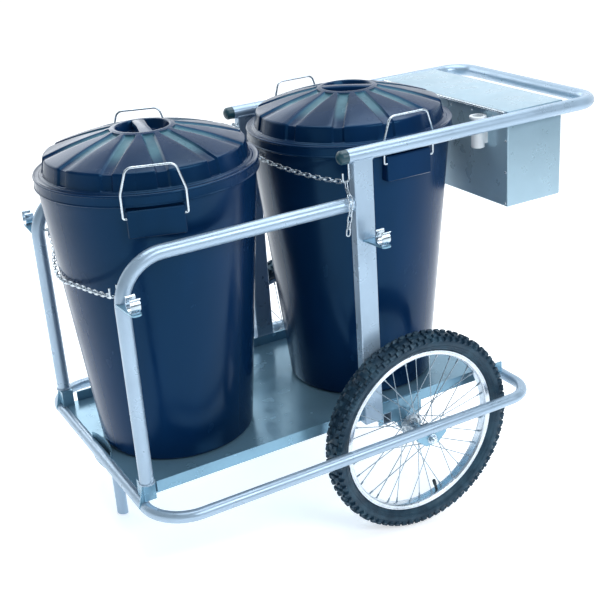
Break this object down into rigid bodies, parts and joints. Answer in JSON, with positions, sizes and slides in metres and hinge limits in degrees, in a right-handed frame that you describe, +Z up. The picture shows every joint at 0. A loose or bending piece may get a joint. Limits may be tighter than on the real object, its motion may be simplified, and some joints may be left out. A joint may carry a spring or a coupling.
{
  "type": "street cleaning barrow",
  "caption": "Two-wheeled street-cleaning barrow with a silver tube frame, lidded round bins, wire bails, retaining chains, a rear tool box and a U-shaped push bar.",
  "frame": {"origin": "bottom centre of the bounding box, on the ground, with the barrow standing on its wheels and front leg", "axes": "+X towards the push bar, +Y to the right of the person pushing, +Z up; the barrow leans 9 degrees nose down on its front leg"},
  "size_m": [1.3395, 0.786, 1.0605],
  "materials": {
    "galvanised_tube": "silver-grey zinc-rich paint, satin",
    "galvanised_sheet": "silver-grey zinc-rich paint, satin",
    "box_sheet": "mill-finish sheet, satin",
    "zinc_steel": "bright zinc plate",
    "spring_steel": "bright spring steel",
    "rim_aluminium": "polished aluminium",
    "spoke_steel": "bright zinc plate",
    "hub_steel": "bright zinc plate",
    "tyre_rubber": "matt black rubber",
    "valve_rubber": "matt black rubber",
    "cap_plastic": "dark teal plastic",
    "bin_plastic": "gloss black plastic",
    "holder_plastic": "white plastic"
  },
  "bodies": {
    "frame": {"tray": "galvanised_sheet", "axle_cross_member": "galvanised_tube", "bumper_rail": "galvanised_tube", "push_handle": "galvanised_tube", "handle_end_caps": "cap_plastic", "corner_brackets": "galvanised_sheet", "tool_pocket": "galvanised_sheet", "front_leg": "galvanised_tube", "axle_nuts": "zinc_steel", "tool_box": "box_sheet", "tool_box_hinge_pin": "zinc_steel", "tool_box_rivets": "zinc_steel", "tube_holder": "holder_plastic", "clip_brackets": "galvanised_sheet", "tool_clips": "spring_steel", "chain_hooks": "zinc_steel", "chain_eyes": "zinc_steel", "front_chain": "zinc_steel", "rear_chain": "zinc_steel", "left_post": "galvanised_tube", "left_hoop": "galvanised_tube", "left_axle_plate": "galvanised_sheet", "left_dropout": "galvanised_sheet", "left_axle": "zinc_steel", "right_post": "galvanised_tube", "right_hoop": "galvanised_tube", "right_axle_plate": "galvanised_sheet", "right_dropout": "galvanised_sheet", "right_axle": "zinc_steel"},
    "tool_box_lid": {"tool_box_lid": "box_sheet"},
    "left_wheel": {"left_hub": "hub_steel", "left_rim": "rim_aluminium", "left_tyre": "tyre_rubber", "left_spokes": "spoke_steel", "left_tyre_valve": "valve_rubber"},
    "right_wheel": {"right_hub": "hub_steel", "right_rim": "rim_aluminium", "right_tyre": "tyre_rubber", "right_spokes": "spoke_steel", "right_tyre_valve": "valve_rubber"},
    "front_bin": {"front_bin": "bin_plastic"},
    "front_lid": {"front_bin_lid": "bin_plastic"},
    "front_left_bail": {"front_bin_left_bail": "zinc_steel"},
    "front_right_bail": {"front_bin_right_bail": "zinc_steel"},
    "rear_bin": {"rear_bin": "bin_plastic"},
    "rear_lid": {"rear_bin_lid": "bin_plastic"},
    "rear_left_bail": {"rear_bin_left_bail": "zinc_steel"},
    "rear_right_bail": {"rear_bin_right_bail": "zinc_steel"}
  },
  "joints": [
    {"name": "left_wheel_spin", "type": "hinge", "parent": "frame", "child": "left_wheel", "pos_m": [0.17523, -0.321, 0.256], "axis": [0, 1, 0], "continuous": true},
    {"name": "right_wheel_spin", "type": "hinge", "parent": "frame", "child": "right_wheel", "pos_m": [0.17523, 0.321, 0.256], "axis": [0, 1, 0], "continuous": true},
    {"name": "tool_box_lid_hinge", "type": "hinge", "parent": "frame", "child": "tool_box_lid", "pos_m": [0.37983, 0, 1.01232], "axis": [0, -1, 0], "range_deg": [0, 95]},
    {"name": "front_bin_lift", "type": "slide", "parent": "frame", "child": "front_bin", "axis": [-0.1564, 0, 0.9877], "range_m": [0, 0.7]},
    {"name": "front_lid_lift", "type": "slide", "parent": "front_bin", "child": "front_lid", "axis": [-0.1564, 0, 0.9877], "range_m": [0, 0.25]},
    {"name": "front_left_bail_swing", "type": "hinge", "parent": "front_bin", "child": "front_left_bail", "pos_m": [-0.49705, -0.23802, 0.81674], "axis": [0.931, -0.3338, 0.1475], "range_deg": [0, 115]},
    {"name": "front_right_bail_swing", "type": "hinge", "parent": "front_bin", "child": "front_right_bail", "pos_m": [-0.33056, 0.23802, 0.84311], "axis": [-0.931, 0.3338, -0.1475], "range_deg": [0, 115]},
    {"name": "rear_bin_lift", "type": "slide", "parent": "frame", "child": "rear_bin", "axis": [-0.1564, 0, 0.9877], "range_m": [0, 0.7]},
    {"name": "rear_lid_lift", "type": "slide", "parent": "rear_bin", "child": "rear_lid", "axis": [-0.1564, 0, 0.9877], "range_m": [0, 0.25]},
    {"name": "rear_left_bail_swing", "type": "hinge", "parent": "rear_bin", "child": "rear_left_bail", "pos_m": [0.11362, -0.2525, 0.91346], "axis": [0.9877, 0, 0.1564], "range_deg": [0, 2.5]},
    {"name": "rear_right_bail_swing", "type": "hinge", "parent": "rear_bin", "child": "rear_right_bail", "pos_m": [0.11362, 0.2525, 0.91346], "axis": [-0.9877, 0, -0.1564], "range_deg": [0, 2.5]}
  ]
}
